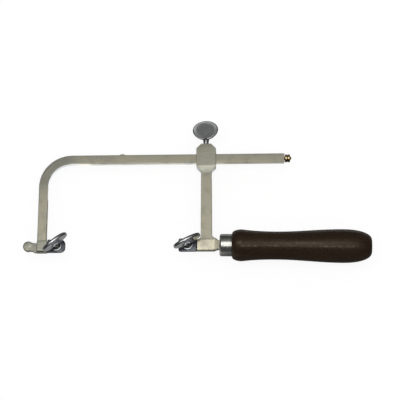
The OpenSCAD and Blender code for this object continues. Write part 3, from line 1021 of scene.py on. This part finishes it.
def tang(gap, start):
    """Tapered tang, grown by a gap."""
    h, tip, t = TANG_H / 2 + gap, TANG_TIP_H / 2 + gap, TANG_T / 2 + gap
    far = TANG_SHOW + TANG_LEN + (TANG_ROOM if gap else 0)
    outline = [(start, -h), (TANG_SHOW, -h), (far, -tip), (far, tip), (TANG_SHOW, h), (start, h)]
    bm = prism(outline, -t, t)
    if not gap:
        soften(bm, TANG_EDGE, chosen=lambda e: abs(middle(e).x - start) > NEAR)
    return placed(bm, BLOCK_RIGHT, 0, 0, [(-HANDLE_DROOP, "Z")])


def collar_dullness_and_shade(place):
    """Share of dullness of the filed collar; full on the sloped face over the arm, where the extra
    is painted shade.
    """
    if place.y > COLLAR_LOW:
        return COLLAR_DULLNESS
    # painted shade: the sloped face is darkened more than the rest of the collar
    return 1.0 if place.y > COLLAR_TAIL_Y else 0.0


def sliding_arm(material):
    """Collar, arm, rear block with its jaw, and tang in one, with its slot and screw holes."""
    body = shape(collar())
    parts = [
        arm_bar(),
        forged_block(BLOCK_LEFT, -BLOCK_BOTTOM, BLOCK_RIGHT, BLOCK_TOP, BLOCK_T,
                     BLOCK_LEAN, BLOCK_WORN_EDGE),
        tang_root(),
        jaw(REAR_X, -1, REAR_CORNER_R - JAW_INSET, BLOCK_T / 2),
        tang(0.0, -TANG_OVERLAP),
    ]
    combine(body, [shape(bm) for bm in parts], "UNION")
    spine = box_outline(ARM_X - COLLAR_W, THROAT - SLIDE_GAP,
                        ARM_X + COLLAR_W, SPINE_TOP + SLIDE_GAP)
    slot = prism(spine, -BAR_T / 2 - SLIDE_GAP, BAR_T / 2 + SLIDE_GAP)
    r, mouth = SCREW_D / 2 + HOLE_GAP, COLLAR_ABOVE + OVERRUN
    tapped = turned([(0, 0), (r, 0), (r, mouth - SINK_DEPTH), (r + SINK_W, mouth),
                     (r + SINK_W, mouth + OVERRUN), (0, mouth + OVERRUN)], HOLE_STEPS)
    placed(tapped, ARM_X, SPINE_TOP - OVERRUN, 0, [(-90, "X")])
    combine(body, [shape(slot), shape(tapped), hole(REAR_X, 0, r, -BLOCK_T, BLOCK_T)], "DIFFERENCE")
    add_grain(body, lambda place: arm_grain if BLOCK_TOP < place.y < COLLAR_TAIL_Y else cross_grain)
    add_dullness_and_shade(body, collar_dullness_and_shade)
    return finished(body, "collar_arm_and_block", material, "slider", "sliding_arm")


# Handle

def ferrule(material):
    """Turned cap with a rounded front, a fine groove and an open back."""
    r, e, length = FERRULE_R, FERRULE_ROUND, FERRULE_LEN
    inner = r - FERRULE_WALL
    profile = [(TANG_HOLE_R, FERRULE_LIP), (TANG_HOLE_R, FERRULE_EDGE)]
    profile += [(TANG_HOLE_R + FERRULE_EDGE, 0)]
    profile += arc(r - e, e, e, -90, 0, 10)
    profile += [(r, length - GROOVE_AT - GROOVE_HALF), (r - GROOVE_DEPTH, length - GROOVE_AT),
                (r, length - GROOVE_AT + GROOVE_HALF)]
    profile += [(r, length - FERRULE_EDGE), (r - FERRULE_EDGE, length), (inner, length),
                (inner, FERRULE_LIP)]
    cap = along_handle(turned(profile, closed=True), TANG_SHOW)
    return finished(shape(cap), "handle_ferrule", material, "slider", "ferrule")


def handle(material):
    """Turned wooden handle with the blind slot for its tang."""
    start = FERRULE_R + WOOD_STEP
    crest, waist, belly, butt = CREST_D / 2, WAIST_D / 2, BELLY_D / 2, BUTT_D / 2
    plug, plug_end = FERRULE_R - FERRULE_WALL - WOOD_GAP, FERRULE_LIP + WOOD_GAP - FERRULE_LEN
    shares = [i / PROFILE_STEPS for i in range(1, PROFILE_STEPS + 1)]
    profile = [(0, plug_end), (plug, plug_end), (plug, 0)]
    profile += [(start - 2 * WOOD_EDGE, 0), (start, WOOD_EDGE)]
    profile += [(start + (crest - start) * math.sqrt(1 - (1 - t) ** 2),
                 CREST_AT * t + WOOD_EDGE * (1 - t)) for t in shares]
    profile += [(waist + (crest - waist) * (1 - t) ** CREST_FALL,
                 CREST_AT + (WAIST_AT - CREST_AT) * t)
                for t in shares]
    profile += [(waist + (belly - waist) * (1 - math.cos(math.pi * t)) / 2,
                 WAIST_AT + (BELLY_AT - WAIST_AT) * t) for t in shares]
    power = 2 / BUTT_FULLNESS
    profile += [(butt + (belly - butt) * math.cos(math.pi / 2 * t) ** power,
                 BELLY_AT + (HANDLE_LEN - BELLY_AT) * math.sin(math.pi / 2 * t) ** power)
                for t in shares]
    profile += [(0, HANDLE_LEN)]
    body = shape(along_handle(turned(profile, HANDLE_STEPS), TANG_SHOW + FERRULE_LEN))
    combine(body, [shape(tang(WOOD_GAP, TANG_SHOW - OVERRUN))], "DIFFERENCE")
    return finished(body, "turned_handle", material, "slider", "handle")


# Camera: angles in degrees, and its aim and distance in millimetres of the saw's layout
TILT = 19.55
YAW = 2.0
ROLL = 0.09
CAMERA_DISTANCE = 1388.0
AIM = (123.65, 41.25, 0.0)
LENS = 144.0
SENSOR = 36.0

# Stage, in metres of the row frame. Zones give where a change starts and is full, and then where it
# wanes and ends; those of the softbox's own light give what it changes from and to
TABLE_SIZE = 6.0
TABLE_LIGHT_ROWS = (-0.004, 0.012, 0.028, 0.036)
TABLE_DARK_RIGHT = (0.0, 0.03)
TABLE_DARK_BACK = (0.036, 0.042)
TABLE_SHOWN = 0.9
SCREEN_R = 1.3
SCREEN_H = 3.42
SCREEN_SHADE_H = 2.0
SOFTBOX = (-0.72, -0.66, 0.72, 0.215)
SOFTBOX_Z = 1.25
SOFTBOX_ROWS = (-0.46, -0.1, 0.6, 3.4)
SOFTBOX_LEFT = (-0.26, -0.1, 0.7, 1.0)
SOFTBOX_RIGHT = (0.03, 0.09, 1.0, 0.4)
STRIP_ROWS = (-0.64, -0.56, -0.44, -0.38)
STRIP_LEFT = (-0.08, -0.03)
STRIP_STRENGTH = 4.75
CARDS = (
    (-0.128, -0.002, -0.095, 0.026),
    (-0.095, 0.02, 0.0024, 0.026),
    (0.0118, 0.0165, 0.0227, 0.0194),
)
CARD_Z = 0.0005
CARD_STRENGTH = 2.6
WORLD_LIGHT = 0.55


def camera():
    """Camera above the table, leaning towards the blade side."""
    data = bpy.data.cameras.new("camera")
    data.lens = LENS
    data.sensor_width = SENSOR
    data.clip_start = 0.05
    data.clip_end = 20.0
    turn = (Matrix.Rotation(math.radians(YAW), 3, "Y") @ Matrix.Rotation(math.radians(TILT), 3, "X")
            @ Matrix.Rotation(math.radians(ROLL), 3, "Z"))
    aim = LAYOUT_ORIGIN + Vector(AIM) * MM
    obj = bpy.data.objects.new("camera", data)
    obj.matrix_world = Matrix.Translation(aim + turn.col[2] * CAMERA_DISTANCE * MM) @ turn.to_4x4()
    bpy.context.scene.collection.objects.link(obj)
    bpy.context.scene.camera = obj


def seen(f, glossy):
    """One for camera and transmission rays, the given share for glossy rays, else nought."""
    camera_ray, through, glossy_ray = [
        f.node("LightPath", out=f"Is {kind} Ray") for kind in ("Camera", "Transmission", "Glossy")]
    return f.math("MINIMUM", camera_ray + through + glossy * glossy_ray, 1.0)


def stage_piece(bm, name, material, unseen_by=()):
    """Puts a piece of the stage in place, which the named kinds of rays pass by."""
    mesh = bpy.data.meshes.new(name)
    bm.to_mesh(mesh)
    bm.free()
    mesh.materials.append(material)
    obj = bpy.data.objects.new(name, mesh)
    bpy.context.scene.collection.objects.link(obj)
    for ray in unseen_by:
        setattr(obj, "visible_" + ray, False)


def sheets(outlines, z):
    """Level rectangles, each given as left, low, right and high."""
    bm = bmesh.new()
    for outline in outlines:
        bm.faces.new([bm.verts.new((x, y, z)) for x, y in box_outline(*outline)])
    return bm


def table():
    """Pale table that the camera sees white, with a faint shadow. What the metal mirrors of it
    holds painted light near the spine, painted shade past the arm and behind the spine, grey
    elsewhere."""
    f = new_material("pale table")
    # painted light and painted shade, mirrored by the metal and bounced onto it
    light = f.band(f.coordinate("Y"), *TABLE_LIGHT_ROWS)
    dark = f.math("MAXIMUM", f.spread(f.coordinate("X"), *TABLE_DARK_RIGHT),
                  f.spread(f.coordinate("Y"), *TABLE_DARK_BACK))
    shade = f.mix(light, f.mix(dark, grey(0.42), grey(0.15)), grey(0.85))
    share = 0.03 + 0.6 * light + (1.0 - light) * (0.18 - 0.18 * dark)
    pale = f.node("BsdfDiffuse", None, {"Color": shade})
    faint = f.node("BsdfDiffuse", None, {"Color": grey(0.13)})
    white = f.node("Emission", None, {"Color": grey(1.0), "Strength": TABLE_SHOWN})
    shown = f.node("AddShader", None, {0: faint, 1: white})
    f.output("OutputMaterial", f.node("MixShader", None, {0: seen(f, share), 1: pale, 2: shown}))
    stage_piece(sheets([(-TABLE_SIZE, -TABLE_SIZE, TABLE_SIZE, TABLE_SIZE)], 0.0), "table", f.owner)


def cards():
    """Glowing cards on the table that whiten the underside of the bend, of the spine's left half
    and of the collar's lower corners."""
    f = new_material("card")
    f.output("OutputMaterial", f.node("Emission", None, {
        "Color": (0.84, 0.87, 1.0), "Strength": CARD_STRENGTH}))
    stage_piece(sheets(CARDS, CARD_Z), "cards", f.owner, ("camera", "shadow", "diffuse"))


def screen():
    """Tall grey screen round the table, open at the top, for the metal's dark reflections."""
    f = new_material("grey screen")
    shade = f.mix(f.spread(f.coordinate("Y"), -SCREEN_R, SCREEN_R), grey(0.2), grey(0.5))
    shade = f.mix(f.spread(f.coordinate("Z"), 0.0, SCREEN_SHADE_H), grey(0.16), shade)
    f.surface({"Base Color": shade, "Roughness": 1.0})
    bm = bmesh.new()
    low, high = bm.verts.new((SCREEN_R, 0, 0)), bm.verts.new((SCREEN_R, 0, SCREEN_H))
    bmesh.ops.spin(bm, geom=[low, high, bm.edges.new((low, high))], cent=(0, 0, 0), axis=(0, 0, 1),
                   angle=math.tau, steps=SCREEN_STEPS, use_merge=True)
    stage_piece(bm, "screen", f.owner, ("camera", "shadow", "diffuse"))


def softbox():
    """Overhead softbox, dimmer towards the blade side and both ends, with a bright strip beside the
    camera."""
    f = new_material("softbox")
    across, along = f.coordinate("Y"), f.coordinate("X")
    broad = f.spread(across, *SOFTBOX_ROWS)
    broad = broad * f.spread(along, *SOFTBOX_LEFT) * f.spread(along, *SOFTBOX_RIGHT)
    strip = f.band(across, *STRIP_ROWS) * f.spread(along, *STRIP_LEFT)
    f.output("OutputMaterial", f.node("Emission", None, {
        "Color": (1.0, 0.995, 0.97), "Strength": broad + STRIP_STRENGTH * strip}))
    stage_piece(sheets([SOFTBOX], SOFTBOX_Z), "softbox", f.owner, ("camera",))


def world():
    """Even white surround, dimmer as a light than as a backdrop."""
    surround = bpy.data.worlds.new("surround")
    bpy.context.scene.world = surround
    f = Finish(surround)
    strength = WORLD_LIGHT + (1.0 - WORLD_LIGHT) * seen(f, 1.0)
    f.output("OutputWorld", f.node("Background", None, {"Color": grey(1.0), "Strength": strength}))


def studio():
    camera()
    table()
    cards()
    screen()
    world()
    softbox()
    bpy.context.scene.view_settings.view_transform = "Standard"


def saw():
    frame_metal = satin_nickel()
    blued = blued_steel()
    screw_metal = bright_nickel()
    bow(frame_metal)
    clamp_plate(0.0, 1, FRONT_CORNER_R, blued,
                "front_pressing_plate", "front_plate", "front_clamp_plate")
    clamp_plate(REAR_X, -1, REAR_CORNER_R, blued,
                "rear_pressing_plate", "rear_plate", "rear_clamp_plate")
    clamp_screw(0.0, FRONT_HEAD_TURN, FOOT_T / 2, screw_metal,
                "front_thumbscrew", "front_screw", "front_clamp_screw")
    clamp_screw(REAR_X, REAR_HEAD_TURN, BLOCK_T / 2, screw_metal,
                "rear_thumbscrew", "rear_screw", "rear_clamp_screw")
    collar_screw(screw_metal)
    sliding_arm(frame_metal)
    end_stop_screw(turned_brass())
    ferrule(turned_steel())
    handle(lacquered_wood())


studio()
saw()
